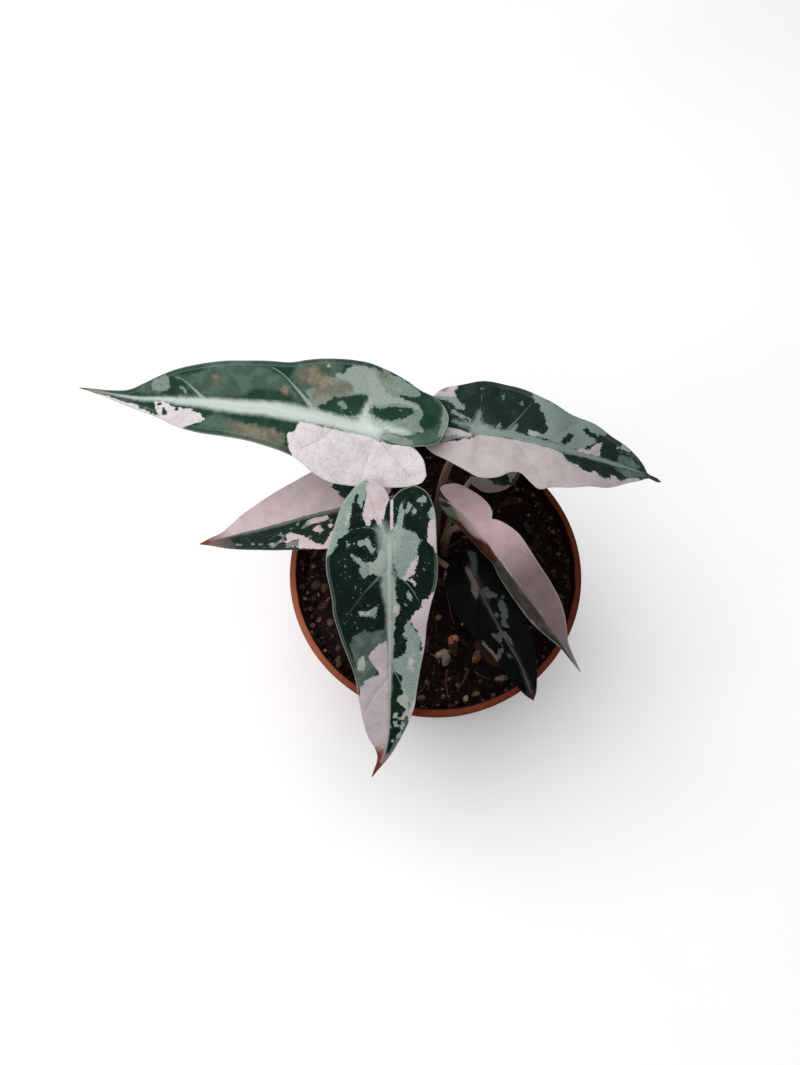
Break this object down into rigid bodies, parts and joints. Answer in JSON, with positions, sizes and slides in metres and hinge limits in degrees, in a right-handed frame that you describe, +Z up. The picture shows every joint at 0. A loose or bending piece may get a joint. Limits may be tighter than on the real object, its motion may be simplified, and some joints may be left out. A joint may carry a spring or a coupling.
{
  "type": "potted bambino alocasia",
  "caption": "Young arrow-leaved aroid with pink and mint marbled leaves on slim stalks, growing in a filled round nursery pot that stands on its flat base.",
  "frame": {"origin": "centre of the underside of the pot, on the surface it stands on", "axes": "+Z up along the pot's axis; -Y towards the front, where one leaf hangs out over the rim; +X to the right seen from the front"},
  "size_m": [0.2296, 0.1478, 0.1904],
  "materials": {
    "pot": "terracotta-coloured moulded plastic, satin",
    "soil": "loose damp potting mix with bark chips and pale pumice bits",
    "blade_left": "living leaf of the long leaf to the left: satin upper face marbled in dark green, mint and pale pink",
    "stalk_left": "smooth fleshy stalk, pinkish brown",
    "blade_right": "living leaf of the broad leaf to the right: satin upper face marbled in dark green, mint and pale pink",
    "stalk_right": "smooth fleshy stalk, pinkish brown",
    "blade_left_low": "living leaf of the lower left leaf: satin upper face marbled in dark green, mint and pale pink",
    "stalk_left_low": "smooth fleshy stalk, pinkish brown",
    "blade_front": "living leaf of the leaf that hangs over the front of the rim: satin upper face marbled in dark green, mint and pale pink",
    "stalk_front": "smooth fleshy stalk, pinkish brown",
    "blade_folded": "living leaf of the narrow leaf folded along its midrib: satin upper face marbled in dark green, mint and pale pink",
    "stalk_folded": "smooth fleshy stalk, pinkish brown",
    "blade_low_dark": "living leaf of the small dark leaf close over the soil: satin upper face marbled in dark green, mint and pale pink",
    "stalk_low_dark": "smooth fleshy stalk, pinkish brown",
    "blade_rear_small": "living leaf of the small round leaf at the back, under the right one: satin upper face marbled in dark green, mint and pale pink",
    "stalk_rear_small": "smooth fleshy stalk, pinkish brown"
  },
  "bodies": {
    "root": {"pot": "pot", "soil": "soil", "stalk_left": "stalk_left", "blade_left": "blade_left", "stalk_right": "stalk_right", "blade_right": "blade_right", "stalk_left_low": "stalk_left_low", "blade_left_low": "blade_left_low", "stalk_front": "stalk_front", "blade_front": "blade_front", "stalk_folded": "stalk_folded", "blade_folded": "blade_folded", "stalk_low_dark": "stalk_low_dark", "blade_low_dark": "blade_low_dark", "stalk_rear_small": "stalk_rear_small", "blade_rear_small": "blade_rear_small"}
  },
  "joints": []
}
